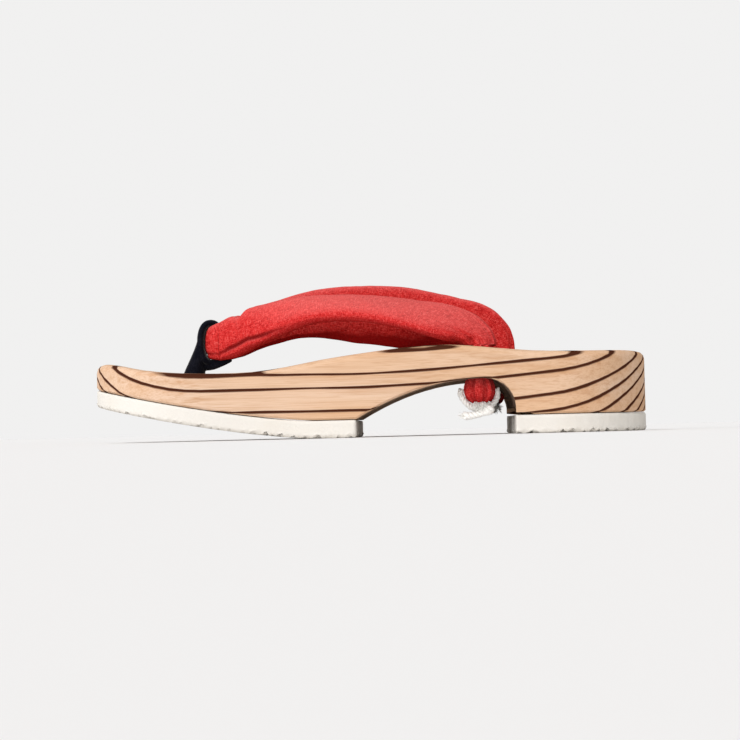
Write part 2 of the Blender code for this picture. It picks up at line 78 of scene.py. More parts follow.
class Value:
    """A shader socket for Python expressions: arithmetic on it adds Math nodes to its tree."""

    def __init__(self, tree, socket=None):
        self.tree = tree
        self.socket = socket

    def node(self, kind, settings, sockets, output=0):
        """Any node: its settings are set first, then the values or links of its sockets."""
        made = self.tree.nodes.new(kind)
        for name, setting in settings.items():
            setattr(made, name, setting)
        for key, given in sockets.items():
            if isinstance(given, Value):
                self.tree.links.new(given.socket, made.inputs[key])
            else:
                made.inputs[key].default_value = given
        return Value(self.tree, made.outputs[output])

    def math(self, operation, first, second=0.0, clamp=False):
        """One Math node."""
        settings = {"operation": operation, "use_clamp": clamp}
        return self.node("ShaderNodeMath", settings, {0: first, 1: second})

    def __add__(self, other):
        return self.math("ADD", self, other)

    def __radd__(self, other):
        return self.math("ADD", other, self)

    def __sub__(self, other):
        return self.math("SUBTRACT", self, other)

    def __rsub__(self, other):
        return self.math("SUBTRACT", other, self)

    def __mul__(self, other):
        return self.math("MULTIPLY", self, other)

    def __rmul__(self, other):
        return self.math("MULTIPLY", other, self)

    def __truediv__(self, other):
        return self.math("DIVIDE", self, other)

    def __pow__(self, other):
        return self.math("POWER", self, other)

    def limited(self):
        """The value kept between 0 and 1."""
        return self.math("ADD", self, 0.0, clamp=True)

    def share(self, start, end):
        """How far the value has come from start to end, kept between 0 and 1."""
        return ((self - start) / (end - start)).limited()

    def size(self):
        """The value without its sign."""
        return self.math("ABSOLUTE", self)

    def most(self, other):
        """The larger of two values."""
        return self.math("MAXIMUM", self, other)

    def parts(self):
        """X, Y and Z of a vector."""
        return [self.node("ShaderNodeSeparateXYZ", {}, {0: self}, axis) for axis in range(3)]

    def grain(self, waves, detail=2.0):
        """Noise over a place, with so many waves a metre: one number, or one for each axis."""
        scale = waves if isinstance(waves, tuple) else (waves, waves, waves)
        scaled = self.node("ShaderNodeVectorMath", {"operation": "MULTIPLY"}, {0: self, 1: scale})
        return self.node("ShaderNodeTexNoise", {}, {"Vector": scaled, "Scale": 1.0, "Detail": detail})

    def mix(self, first, second, share):
        """A colour between two colours."""
        return self.node("ShaderNodeMix", {"data_type": "RGBA"}, {0: share, 6: first, 7: second}, 2)

    def relief(self, strength):
        """The normal of a surface raised by this value, in metres."""
        sockets = {"Strength": strength, "Distance": 1.0, "Height": self}
        return self.node("ShaderNodeBump", {}, sockets, "Normal")

    def feeds(self, shader, socket):
        """Links the value into a shader."""
        self.tree.links.new(self.socket, shader.inputs[socket])


def new_finish(name, constants):
    """A material, the start of its expressions, and its shader with constants on its own sockets."""
    made = bpy.data.materials.new(name)
    made.use_nodes = True
    shader = made.node_tree.nodes["Principled BSDF"]
    for socket, value in constants.items():
        shader.inputs[socket].default_value = value
    return made, Value(made.node_tree), shader


scene = bpy.context.scene
scene.view_settings.view_transform = "Standard"

turned = Matrix.Rotation(CAMERA_TURN, 4, "Z")
tilted = Matrix.Rotation(math.pi / 2 + CAMERA_TILT, 4, "X")
rolled = Matrix.Rotation(-CAMERA_ROLL, 4, "Z")
stand = turned @ Vector((CAMERA_ASIDE, NEAR_SIDE - CAMERA_DISTANCE, CAMERA_HEIGHT))
camera = bpy.data.objects.new("camera", bpy.data.cameras.new("camera"))
camera.data.sensor_width = SENSOR
camera.data.lens = SENSOR * CAMERA_DISTANCE / (FRAME_PIXELS * PIXEL_SIZE)
camera.data.clip_start = CAMERA_CLIP
camera.matrix_world = Matrix.Translation(stand) @ turned @ tilted @ rolled
scene.collection.objects.link(camera)
scene.camera = camera

for name, left, raised, strength, softness in LIGHTS[1:]:
    light = bpy.data.objects.new(name, bpy.data.lights.new(name, "SUN"))
    light.data.energy = strength
    light.data.angle = softness
    light.rotation_euler = (math.radians(90 - raised), 0, math.radians(-left))
    scene.collection.objects.link(light)

surround = bpy.data.worlds.new("surround")
surround.use_nodes = True
sky = Value(surround.node_tree)
height = sky.node("ShaderNodeTexCoord", {}, {}, "Generated").parts()[2]
overhead = height.share(SURROUND_TOP, OVERHEAD_START)
(SURROUND + overhead * (OVERHEAD - SURROUND)).feeds(surround.node_tree.nodes["Background"], "Strength")
surround.node_tree.nodes["Background"].inputs["Color"].default_value = SURROUND_COLOUR
scene.world = surround

floor_mesh = bpy.data.meshes.new("floor")
floor_signs = ((-1, -1), (1, -1), (1, 1), (-1, 1))
floor_corners = [(x * FLOOR_REACH, y * FLOOR_REACH, -FLOOR_DROP) for x, y in floor_signs]
floor_mesh.from_pydata(floor_corners, [], [(0, 1, 2, 3)])
floor = bpy.data.objects.new("floor", floor_mesh)
scene.collection.objects.link(floor)
paper_look = {"Base Color": FLOOR_COLOUR, "Roughness": 1.0, "Specular IOR Level": 0.0}
paper = new_finish("studio_paper", paper_look)[0]
floor_mesh.materials.append(paper)

# Body: one block of flat-sawn cedar, carved, burnt and brushed so that its growth rings stand out as
# thin dark lines, with a charred face in the arch that also carries painted shade, deepest towards the
# heel. The rings lie round a core below the far half.
WELD = 0.00001
BODY_SHARP = 40
RING_RADII = (
    0.0500, 0.0540, 0.0588, 0.0630, 0.0679, 0.07225, 0.0768,
    0.0822, 0.0869, 0.0918, 0.0985, 0.1027, 0.1091,
)
RING_CORE_OUT = 0.021
RING_CORE_HEIGHT = -0.0497
RING_CORE_SLOPE = 0.0052
RING_WANDER = 0.0016
LINE_OUTSIDE = 0.00042
LINE_INSIDE = 0.00075
HALO_INSIDE = 0.0034
BOLD_START = 0.03
BOLD_END = 0.1133
BOLDNESS_MIDDLE = 0.85
BOLDNESS_ENDS = 0.4
BOLDNESS_SWING = 0.8
LINE_CONTRAST = 2.2
LINE_FAINTEST = 0.72
LINE_SWING = 0.5
HALO_SHARE = 0.35
HALO_SWING = 1.2
TAN_START = 0.3154
TAN_CONTRAST = 2.6
TAN_TOWARDS_HEEL = 1.6
STREAK_SHARE = 0.6
PORE_SHARE = 0.5
ARCH_START = -0.0058
ARCH_END = 0.0625
ARCH_TOP = 0.026
ARCH_EDGE = 0.0005
CHAR_AND_SHADE_FACING = 0.4545
CHAR_AND_SHADE_SWING = 0.8
SHADE_DEEPENS_ALONG = (0.030, 0.0522)
SHADE_DEEPENING_SHARE = 0.75
WOOD_ROUGHNESS = 0.62
LINE_POLISH = 0.08
FIBRE_ROUGHNESS = 0.2
LINE_RELIEF = 0.00012
FIBRE_RELIEF = 0.00005
WOOD_BUMP = 0.7
PEACH = (0.635, 0.462, 0.345, 1.0)
TAN = (0.60, 0.39, 0.25, 1.0)
STREAK = (0.43, 0.235, 0.12, 1.0)
AMBER = (0.47, 0.215, 0.085, 1.0)
BURNT_LINE = (0.055, 0.017, 0.009, 1.0)
CHAR_AND_SHADE = (0.36, 0.25, 0.18, 1.0)
DEEP_CHAR_AND_SHADE = (0.085, 0.058, 0.045, 1.0)

# Noises over the wood: waves a metre along, out and up, and detail
WOOD_NOISES = {
    "wander": ((14, 45, 45), 1.0),
    "boldness": ((40, 160, 160), 1.0),
    "unevenness": ((60, 700, 700), 2.0),
    "fibre": ((45, 2600, 2600), 3.0),
    "cloud": ((9, 70, 70), 2.0),
    "band": ((18, 520, 520), 2.0),
    "pore": ((110, 3600, 3600), 1.0),
}

# Values of a noise where its stain starts and where it is full
STAIN_LIMITS = {"band": (0.48, 0.8371), "fibre": (0.46, 0.8171), "pore": (0.60, 0.7667)}


def bare_mesh(node, name):
    """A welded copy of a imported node's mesh."""
    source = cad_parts[node].data
    mesh = bpy.data.meshes.new(name)
    places = [vert.co for vert in source.vertices]
    mesh.from_pydata(places, [], [face.vertices[:] for face in source.polygons])
    shape = bmesh.new()
    shape.from_mesh(mesh)
    bmesh.ops.remove_doubles(shape, verts=shape.verts, dist=WELD)
    bmesh.ops.recalc_face_normals(shape, faces=shape.faces)
    shape.to_mesh(mesh)
    shape.free()
    mesh.shade_smooth()
    return mesh


def add_piece(name, mesh, finish, slot, *nodes):
    """A piece of the sandal with its finish, hiding the nodes that it stands for. The slot is not used."""
    made = bpy.data.objects.new(name, mesh)
    scene.collection.objects.link(made)
    mesh.materials.clear()
    mesh.materials.append(finish)
    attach(made, "root")
    if nodes:
        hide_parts(*nodes)
    return made


cedar, wood, cedar_shader = new_finish("burnt_cedar", {"Specular IOR Level": 0.0})
place = wood.node("ShaderNodeTexCoord", {}, {}, "Object")
x, y, z = place.parts()
noises = {name: place.grain(*waves) for name, waves in WOOD_NOISES.items()}
stains = {name: noises[name].share(*limits) for name, limits in STAIN_LIMITS.items()}
out = y - RING_CORE_OUT
up = z - (RING_CORE_HEIGHT + x * RING_CORE_SLOPE)
radius = (out * out + up * up) ** 0.5 + (noises["wander"] - 0.5) * RING_WANDER
boldness = BOLDNESS_MIDDLE + x.size().share(BOLD_START, BOLD_END) * BOLDNESS_ENDS
boldness += (noises["boldness"] - 0.5) * BOLDNESS_SWING
line = 0.0
halo = 0.0
for ring in RING_RADII:
    off = (radius - ring) / boldness
    edge = (off / LINE_OUTSIDE).most(off / -LINE_INSIDE)
    glow = (off / LINE_OUTSIDE).most(off / -HALO_INSIDE)
    line = (1 - edge).most(line)
    halo = (1 - glow).most(halo)
line = (line * LINE_CONTRAST * (LINE_FAINTEST + noises["unevenness"] * LINE_SWING)).limited()
tone = wood.mix(PEACH, TAN, ((noises["cloud"] - TAN_START) * TAN_CONTRAST + x * TAN_TOWARDS_HEEL).limited())
tone = wood.mix(tone, STREAK, (stains["band"] + stains["fibre"]) * STREAK_SHARE)
tone = wood.mix(tone, STREAK, stains["pore"] * PORE_SHARE)
tone = wood.mix(tone, AMBER, (halo * halo * (HALO_SHARE + (noises["band"] - 0.5) * HALO_SWING)).limited())
tone = wood.mix(tone, BURNT_LINE, line)
# Charred wood plus painted shade: in the arch, faces that do not face out are mixed towards dark char-brown,
# darker towards the heel.
facing_out = place.node("ShaderNodeTexCoord", {}, {}, "Normal").parts()[1].size()
in_arch = x.share(ARCH_START, ARCH_START + ARCH_EDGE) * x.share(ARCH_END, ARCH_END - ARCH_EDGE)
in_arch *= z.share(ARCH_TOP, ARCH_TOP - ARCH_EDGE)
char_and_shade_depth = x.share(*SHADE_DEEPENS_ALONG) * SHADE_DEEPENING_SHARE + (noises["cloud"] - 0.5) * CHAR_AND_SHADE_SWING
char_and_shade = wood.mix(CHAR_AND_SHADE, DEEP_CHAR_AND_SHADE, char_and_shade_depth.limited())
tone = wood.mix(tone, char_and_shade, in_arch * facing_out.share(CHAR_AND_SHADE_FACING, 0.0))
tone.feeds(cedar_shader, "Base Color")
roughness = WOOD_ROUGHNESS - line * LINE_POLISH + (noises["fibre"] - 0.5) * FIBRE_ROUGHNESS
roughness.feeds(cedar_shader, "Roughness")
(line * LINE_RELIEF + noises["fibre"] * FIBRE_RELIEF).relief(WOOD_BUMP).feeds(cedar_shader, "Normal")

body = add_piece("cedar_body", bare_mesh("wooden_body", "cedar_body"), cedar, "burnt_cedar", "wooden_body")
body.data.set_sharp_from_angle(angle=math.radians(BODY_SHARP))
body_normals = body.modifiers.new("flat_faces_first", "WEIGHTED_NORMAL")
body_normals.keep_sharp = True

# Soles: two sheets of cream crepe rubber, glued on and trimmed by hand, so their lower edges are torn
# and ragged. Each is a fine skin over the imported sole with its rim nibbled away.
SOLE_VOXEL = 0.0007
TORN_HEIGHT = 0.0016
TORN_GRAIN = 0.0019
JAG_FINENESS = 2.3
BITE_OUT = 0.0014
JAG_OUT = 0.0007
BITE_LIFT = 0.00304
JAG_LIFT = 0.00076
SPRING_START = -0.024
SPRING_LENGTH = 0.096
SPRING_RISE = 0.016
SPRING_POWER = 1.4
CRUMB_WAVES = 900
CRUMB_DETAIL = 4.0
CRUMB_RELIEF = 0.00025
CLOUD_WAVES = 60
CLOUD_RELIEF = 0.0002
RAW_WAVES = 500
RAW_SWING = 1.4
RAW_SHARE = 0.55
WARM_LIMITS = (0.45, 0.95)
RUBBER_BUMP = 0.6
RUBBER = (0.65, 0.62, 0.575, 1.0)
RUBBER_WARM = (0.62, 0.58, 0.52, 1.0)
RUBBER_RAW = (0.54, 0.50, 0.44, 1.0)


def skinned(piece, voxel):
    """Gives a piece an even fine skin over its shape."""
    skin = piece.modifiers.new("skin", "REMESH")
    skin.mode = "VOXEL"
    skin.voxel_size = voxel
    skin.use_smooth_shade = True
    graph = bpy.context.evaluated_depsgraph_get()
    mesh = bpy.data.meshes.new_from_object(piece.evaluated_get(graph))
    piece.modifiers.clear()
    piece.data = mesh


def sole_floor(along):
    """Height of a sole's underside, which springs up at the toe."""
    return SPRING_RISE * max(0.0, (SPRING_START - along) / SPRING_LENGTH) ** SPRING_POWER


crepe, rubber, crepe_shader = new_finish("crepe_rubber", {"Specular IOR Level": 0.0, "Roughness": 1.0})
place = rubber.node("ShaderNodeTexCoord", {}, {}, "Object")
x, _, z = place.parts()
crumb = place.grain(CRUMB_WAVES, CRUMB_DETAIL)
cloud = place.grain(CLOUD_WAVES)
spring = x.share(SPRING_START, SPRING_START - SPRING_LENGTH) ** SPRING_POWER * SPRING_RISE
raw = (1 - (z - spring) / TORN_HEIGHT + (place.grain(RAW_WAVES) - 0.5) * RAW_SWING).limited()
tone = rubber.mix(RUBBER, RUBBER_WARM, cloud.share(*WARM_LIMITS))
rubber.mix(tone, RUBBER_RAW, raw * RAW_SHARE).feeds(crepe_shader, "Base Color")
(crumb * CRUMB_RELIEF + cloud * CLOUD_RELIEF).relief(RUBBER_BUMP).feeds(crepe_shader, "Normal")

for node in ("forefoot_sole", "heel_sole"):
    name = node.replace("sole", "rubber")
    sole = add_piece(name, bare_mesh(node, name), crepe, "crepe_rubber", node)
    skinned(sole, SOLE_VOXEL)
    facings = [vert.normal.copy() for vert in sole.data.vertices]
    for vert, facing in zip(sole.data.vertices, facings):
        torn = 1 - max(0.0, (vert.co.z - sole_floor(vert.co.x)) / TORN_HEIGHT)
        if torn > 0:
            bite = noise.noise(vert.co / TORN_GRAIN)
            jag = noise.noise(vert.co / TORN_GRAIN * JAG_FINENESS)
            flat = Vector((facing.x, facing.y, 0))
            vert.co += torn * flat * (BITE_OUT * bite + JAG_OUT * jag)
            vert.co.z += torn * max(0.0, BITE_LIFT * bite + JAG_LIFT * jag)

# Strap: a tube of red slub cloth over cotton padding, folded in a V at the front. Its ends are
# gathered through the rear holes and bulge below, with the raw white edge of the lining in threads.
MIDDLE = 0.120
BED_BY_HOLE = 0.03677
HOLE_OUT = 0.031
HOLE_RADIUS = 0.0058
HOLES = {-1: (0.167, 0.0376, 0.0302), 1: (0.175, 0.0368, 0.0298)}
ARCH_HEIGHT = 0.0236
CLEARANCE = 0.0003
FOLD_ALONG = 0.0546
FOLD_BEND = 0.0045
FOLD_THICKNESS = 0.0056
FOLD_HEIGHT = 0.0142
FOLD_FLOOR = -0.0008
FOLD_FLARE = (0.07, 0.12)
STRAP_RISE = 0.0264
STRAP_THICKNESS = 0.0085
FAR_TURN = math.radians(55)
FAR_SPREAD = 0.16
FAR_SWELL = 1.5
FAR_SWEEP = 0.0022
FAR_LIFT = 0.0020
FAR_REAR_LIFT = 0.3
FAR_CROWN_RISE = 0.0030
FAR_CROWN_START = 0.72
BULB_LENGTH = 0.0106
BULB_WIDTH = 0.0137
BULB_DIMPLE = 0.001325
SQUARENESS = 2.4
ROUNDNESS = 2.0
AROUND = 96
LEG_STEPS = 11
FOLD_STEPS = 28
END_STEPS = 7
GIRTH = 0.052
THREAD = 0.00050
WARP = 2300
WEFT = 2200
YARN_RUN = 480
YARN_WOBBLE = 0.0008
CROSSING_WAVES = 150
RUNNING_WAVES = 120
WEFT_SHIFT = 7.0
SOFT_DENTS = 0.00022
SMALL_DENTS = 0.00011
DENT_WAVES = 110
SMALL_DENT_WAVES = 300
GATHER_DEPTH = 0.000252
GATHER_SHADE = 0.25
PLEAT_DEPTH = 0.0008
PLEAT_SHADE = 0.9
CREASE_DEPTH = 0.0010
CREASE_WIDTH = 0.0009
CREASE_FADE = 3
CREASE_SHADE = 0.8
ROLL_RISE = 0.00035
ROLL_WIDTH = 0.0022
TUCK_PLACE = Vector((0.0440, -0.0385, 0.0395))
TUCK_DEPTH = 0.0016
TUCK_SIZE = 0.0017
RED = (0.585, 0.032, 0.030, 1.0)
RED_DEEP = (0.30, 0.007, 0.008, 1.0)
RED_PALE = (0.74, 0.195, 0.180, 1.0)
RED_UNDERSIDE_SHADE = (0.22, 0.004, 0.005, 1.0)
RED_SHADOW = (0.11, 0.003, 0.004, 1.0)
SHADE_LEVEL = 0.52
SLUB_CONTRAST = 2.1
SPECK_WAVES = 2300
SPECK_CONTRAST = 1.6
PATCH_WAVES = 190
PATCH_CONTRAST = 0.5
WEAVE_CONTRAST = 0.25
PALE_LEVEL = 0.56
PALE_SLUBS = 3.2
PALE_SPECKS = 1.8
PALE_SHARE = 0.5
HIGHLIGHT_FACING_UP = (0.15, 1.4)
HIGHLIGHT_SHARE = 0.55
SHADE_FACING_DOWN = (-0.34, -0.465)
NEAR_UNDERSIDE_SHADE = 0.40
FAR_UNDERSIDE_SHADE = 0.45
FAR_LEG_OUT = (-0.006, 0.000667)
WEAVE_RELIEF = 0.00010
SLUB_RELIEF = 0.00022
CLOTH_BUMP = 0.8

# Sections from the fold to the hole, as shares: of the way, of the hole's place and of the rise
STRAP_SECTIONS = (
    ("low_along", "low_out", "low_up", "high_along", "high_out", "high_up", "thick"),
    (0.050, 0.25, -0.04, 0.050, 0.23, 0.66, 0.76),
    (0.085, 0.33, 0.00, 0.082, 0.28, 0.645, 0.83),
    (0.130, 0.43, 0.09, 0.120, 0.34, 0.77, 0.90),
    (0.190, 0.58, 0.20, 0.185, 0.39, 0.82, 0.96),
    (0.262, 0.77, 0.34, 0.262, 0.43, 0.87, 1.00),
    (0.342, 0.97, 0.48, 0.360, 0.46, 0.89, 1.00),
    (0.440, 1.13, 0.54, 0.457, 0.49, 0.88, 1.00),
    (0.546, 1.24, 0.53, 0.573, 0.54, 0.85, 1.00),
    (0.644, 1.32, 0.45, 0.689, 0.60, 0.80, 1.00),
    (0.733, 1.36, 0.34, 0.795, 0.66, 0.735, 0.98),
    (0.808, 1.35, 0.23, 0.902, 0.71, 0.665, 0.95),
    (0.866, 1.30, 0.15, 0.990, 0.76, 0.52, 0.90),
    (0.905, 1.22, 0.11, 1.043, 0.83, 0.30, 0.90),
    (0.927, 1.15, 0.08, 1.062, 0.88, 0.14, 0.96),
    (0.943, 1.10, 0.03, 1.066, 0.92, 0.025, 1.05),
)
FOOT_SECTION = len(STRAP_SECTIONS) - 1
GATHER_START = FOOT_SECTION - 4.5
GATHER_REACH = 4
PLEAT_START = FOOT_SECTION + 3

# Gathers round the strap's feet: how many, how strong, where they start and their twist by section
GATHERS = (
    ("count", "strength", "start", "twist"),
    (7, 1.0, 0.7, 0.0),
    (12, 0.7, 2.1, 0.0),
    (19, 0.5, 0.0, 1.0),
)

# Pleats round a gathered end: how many to a half turn, how strong, where they start and how sharp
PLEATS = (
    ("count", "strength", "start", "power"),
    (4.5, 1.0, 0.35, 0.5),
    (7.5, 0.4, 1.0, 0.6),
)

# Gathered end below the arch, as shares of the bulb's length and width
BULB_SECTIONS = (
    ("down", "forward", "width"),
    (0.10, 0.02, 0.84),
    (0.35, 0.06, 0.96),
    (0.60, 0.06, 0.95),
    (0.85, 0.05, 0.77),
    (1.00, 0.04, 0.44),
)

# Crease over the rolled lower edge: its section, its share of the strap's height and its strength
ROLL_CREASE = (
    ("section", "height", "strength"),
    (0.0, 0.16, 0.3),
    (1.0, 0.25, 1.0),
    (2.0, 0.28, 1.0),
    (3.0, 0.25, 1.0),
    (4.0, 0.13, 0.9),
    (5.0, 0.02, 0.3),
    (5.6, 0.00, 0.0),
)

# Crease beside the crown's rear edge, where the strap turns down to its hole
CROWN_CREASE = (
    ("section", "height", "strength"),
    (9.0, 0.97, 0.0),
    (11.0, 0.935, 0.6),
    (12.0, 0.905, 1.1),
    (13.0, 0.885, 1.2),
    (14.0, 0.875, 1.2),
    (15.0, 0.875, 0.9),
)


def smooth_rows(rows, steps):
    """Rows of numbers on a smooth curve through the given rows, with steps between each two."""
    table = np.array(rows, dtype=float)
    padded = np.vstack([2 * table[0] - table[1], table, 2 * table[-1] - table[-2]])
    made = []
    for index in range(len(table) - 1):
        before, start, end, after = padded[index : index + 4]
        for step in range(steps):
            share = step / steps
            bend = before - 2.5 * start + 2 * end - 0.5 * after
            swing = 1.5 * start - 1.5 * end + 0.5 * after - 0.5 * before
            made.append(start + 0.5 * share * (end - before) + share**2 * bend + share**3 * swing)
    made.append(table[-1])
    return made


def fold_edge(share, flare):
    """Height of the fold's lower (0) or upper (1) edge, flared where it meets a leg."""
    level = BED_BY_HOLE + FOLD_FLOOR + share * FOLD_HEIGHT
    return level + flare * (2 * share - 1) * FOLD_FLARE[share] * FOLD_HEIGHT


def leg_sections(side):
    """Centre, half-width, half-thickness, squareness and number of each section of one leg."""
    reach = HOLES[side][0] - FOLD_ALONG
    edges_up = [(fold_edge(share, 1) - BED_BY_HOLE) / STRAP_RISE for share in (0, 1)]
    start = FOLD_BEND / HOLE_OUT
    rows = [(0.0, start, edges_up[0], 0.0, start, edges_up[1], FOLD_THICKNESS / STRAP_THICKNESS)]
    rows = smooth_rows(rows + list(STRAP_SECTIONS[1:]), LEG_STEPS)
    lows, highs = [], []
    for index, row in enumerate(rows):
        low = Vector((row[0] * reach, side * row[1] * HOLE_OUT, row[2] * STRAP_RISE))
        high = Vector((row[3] * reach, side * row[4] * HOLE_OUT, row[5] * STRAP_RISE))
        if side == 1:
            share = index / (len(rows) - 1)
            wave = math.sin(2 * math.pi * share)
            lift = FAR_LIFT * (max(0.0, wave) + FAR_REAR_LIFT * max(0.0, -wave))
            crown = max(0.0, share - FAR_CROWN_START) / (1 - FAR_CROWN_START)
            high.x += FAR_SWEEP * max(0.0, 1 - 2 * row[5]) * max(0.0, row[3])
            low.z += lift
            high.z += lift + FAR_CROWN_RISE * math.sin(math.pi * crown)
        base = Vector((FOLD_ALONG - MIDDLE, 0, BED_BY_HOLE))
        lows.append(low + base)
        highs.append(high + base)
    centres = [(low + high) / 2 for low, high in zip(lows, highs)]
    made = []
    for index, centre in enumerate(centres):
        run = (centres[min(len(centres) - 1, index + 1)] - centres[max(0, index - 1)]).normalized()
        if index == 0:
            run = Vector((1, 0, 0))
        wide = (highs[index] - lows[index]) / 2
        if side == 1:
            swell = math.sin(math.pi * index / (len(centres) - 1)) ** FAR_SWELL
            turn = FAR_TURN * swell
            wide = (wide * math.cos(turn) + wide.cross(run) * math.sin(turn)) * (1 + FAR_SPREAD * swell)
        thick = wide.cross(run).normalized() * (rows[index][6] * STRAP_THICKNESS / 2) * side
        made.append((centre, wide, thick, SQUARENESS, index / LEG_STEPS))
    return made


def end_sections(side):
    """Sections of a gathered end: its round neck in the hole and the bulb below."""
    along, neck, middle = HOLES[side]
    round_neck = HOLE_RADIUS - CLEARANCE
    rows = [(along, neck, round_neck), (along, middle, round_neck), (along, ARCH_HEIGHT, round_neck)]
    for down, forward, width in BULB_SECTIONS[1:]:
        shift = forward * BULB_WIDTH if side == 1 else 0.0
        squeeze = (HOLE_RADIUS + BULB_WIDTH / 2 - shift) / BULB_WIDTH if side == 1 else 1.0
        rows.append((along - shift, ARCH_HEIGHT - down * BULB_LENGTH, squeeze * width * BULB_WIDTH / 2))
    made = []
    for index, (place_along, place_up, size) in enumerate(smooth_rows(rows, END_STEPS)):
        centre = Vector((place_along - MIDDLE, side * HOLE_OUT, place_up))
        number = FOOT_SECTION + 1 + index / END_STEPS
        made.append((centre, Vector((size, 0, 0)), Vector((0, side * size, 0)), ROUNDNESS, number))
    return made


def fold_sections():
    """Sections round the bend of the fold, from the near leg to the far one."""
    made = []
    for step in range(1, FOLD_STEPS):
        turn = math.pi * step / FOLD_STEPS
        low, high = [fold_edge(share, 1 - math.sin(turn)) for share in (0, 1)]
        outward = Vector((-math.sin(turn), -math.cos(turn), 0))
        centre = Vector((FOLD_ALONG - MIDDLE, 0, (low + high) / 2)) + outward * FOLD_BEND
        wide = Vector((0, 0, (high - low) / 2))
        made.append((centre, wide, outward * (FOLD_THICKNESS / 2), SQUARENESS, 0.0))
    return made


def cloth_relief(point, number, turn, half_width):
    """How far the cloth stands out at a point, and how much painted shade it gets there for lying in a
    crease, pleat, gather or tuck, from 0 to 1.
    """
    rise = SOFT_DENTS * noise.noise(point * DENT_WAVES) + SMALL_DENTS * noise.noise(point * SMALL_DENT_WAVES)
    shade_in_folds = 0.0
    for crease in (ROLL_CREASE, CROWN_CREASE):
        if crease[1][0] <= number <= crease[-1][0] and math.sin(turn) > 0:
            numbers, heights, strengths = zip(*crease[1:])
            strength = np.interp(number, numbers, strengths) * min(1.0, math.sin(turn) * CREASE_FADE)
            across = ((1 + math.cos(turn)) / 2 - np.interp(number, numbers, heights)) * 2 * half_width
            trough = strength * math.exp(-((across / CREASE_WIDTH) ** 2))
            shade_in_folds = max(shade_in_folds, trough)
            rise -= CREASE_DEPTH * trough
            rise += ROLL_RISE * strength * math.exp(-(((across + ROLL_WIDTH) / ROLL_WIDTH) ** 2))
    foot = min(1.0, max(0.0, (number - GATHER_START) / GATHER_REACH)) ** 2
    waves = 0.0
    for count, strength, start, twist in GATHERS[1:]:
        waves += strength * math.cos(count * turn + start + twist * number)
    rise += GATHER_DEPTH * foot * waves
    if number > PLEAT_START:
        pleats = -1.0
        for count, strength, start, power in PLEATS[1:]:
            pleats += strength * abs(math.sin(count * turn + start)) ** power
        rise += PLEAT_DEPTH * pleats
        shade_in_folds = max(shade_in_folds, -PLEAT_SHADE * pleats)
    tuck = math.exp(-((point - TUCK_PLACE).length_squared / TUCK_SIZE**2))
    return rise - TUCK_DEPTH * tuck, min(1.0, max(shade_in_folds, tuck, -GATHER_SHADE * foot * waves))


near_end = list(reversed(leg_sections(-1) + end_sections(-1)))
sections = near_end + fold_sections() + leg_sections(1) + end_sections(1)
verts = []
fold_shades = []
lengths = [0.0]
for index, (centre, wide, thick, squareness, number) in enumerate(sections):
    if index:
        lengths.append(lengths[-1] + (centre - sections[index - 1][0]).length)
    for step in range(AROUND):
        turn = 2 * math.pi * step / AROUND
        across = math.copysign(abs(math.cos(turn)) ** (2 / squareness), math.cos(turn))
        through = math.copysign(abs(math.sin(turn)) ** (2 / squareness), math.sin(turn))
        point = centre + wide * across + thick * through
        outward = wide * (math.cos(turn) / wide.length_squared)
        outward += thick * (math.sin(turn) / thick.length_squared)
        rise, shade_in_folds = cloth_relief(point, number, turn, wide.length)
        verts.append(point + outward.normalized() * rise)
        fold_shades.append(shade_in_folds)
faces = []
corners = []
for row in range(len(sections) - 1):
    for step in range(AROUND):
        after = (step + 1) % AROUND
        here, there = row * AROUND, (row + 1) * AROUND
        faces.append((here + step, here + after, there + after, there + step))
        girths = [GIRTH * step / AROUND, GIRTH * (step + 1) / AROUND]
        corners += [(lengths[row], girths[0]), (lengths[row], girths[1])]
        corners += [(lengths[row + 1], girths[1]), (lengths[row + 1], girths[0])]
for row in (0, len(sections) - 1):
    verts.append(sections[row][0] + Vector((0, 0, BULB_DIMPLE)))
    fold_shades.append(0.0)
    for step in range(AROUND):
        faces.append((row * AROUND + step, row * AROUND + (step + 1) % AROUND, len(verts) - 1))
        middle_girth = GIRTH * (step + 0.5) / AROUND
        corners += [(lengths[row], GIRTH * step / AROUND), (lengths[row], GIRTH * (step + 1) / AROUND)]
        corners.append((lengths[row] + sections[row][1].length, middle_girth))
strap_mesh = bpy.data.meshes.new("padded_strap")
strap_mesh.from_pydata(verts, [], faces)
strap_mesh.uv_layers.new(name="cloth").data.foreach_set("uv", np.array(corners).ravel())
strap_mesh.attributes.new("crease", "FLOAT", "POINT").data.foreach_set("value", fold_shades)
shape = bmesh.new()
shape.from_mesh(strap_mesh)
bmesh.ops.recalc_face_normals(shape, faces=shape.faces)
shape.to_mesh(strap_mesh)
shape.free()
strap_mesh.shade_smooth()

slub, cloth, slub_shader = new_finish("red_slub_cloth", {"Roughness": 1.0, "Specular IOR Level": 0.0})
along, around, _ = cloth.node("ShaderNodeUVMap", {"uv_map": "cloth"}, {}, "UV").parts()
place = cloth.node("ShaderNodeTexCoord", {}, {}, "Object")
crossing = (along + (place.grain(CROSSING_WAVES) - 0.5) * YARN_WOBBLE) / THREAD
running = (around + (place.grain(RUNNING_WAVES) - 0.5) * YARN_WOBBLE) / THREAD
crossing_round = crossing.math("SINE", crossing * math.pi).size()
running_round = running.math("SINE", running * math.pi).size()
weave = crossing_round.most(running_round)
warp_place = cloth.node("ShaderNodeCombineXYZ", {}, {0: along, 1: around, 2: 0.0})
weft_place = cloth.node("ShaderNodeCombineXYZ", {}, {0: along, 1: around, 2: WEFT_SHIFT})
warp = warp_place.grain((YARN_RUN, WARP, 1))
weft = weft_place.grain((WEFT, YARN_RUN, 1))
slubs = warp.most(weft)
patch = place.grain(PATCH_WAVES)
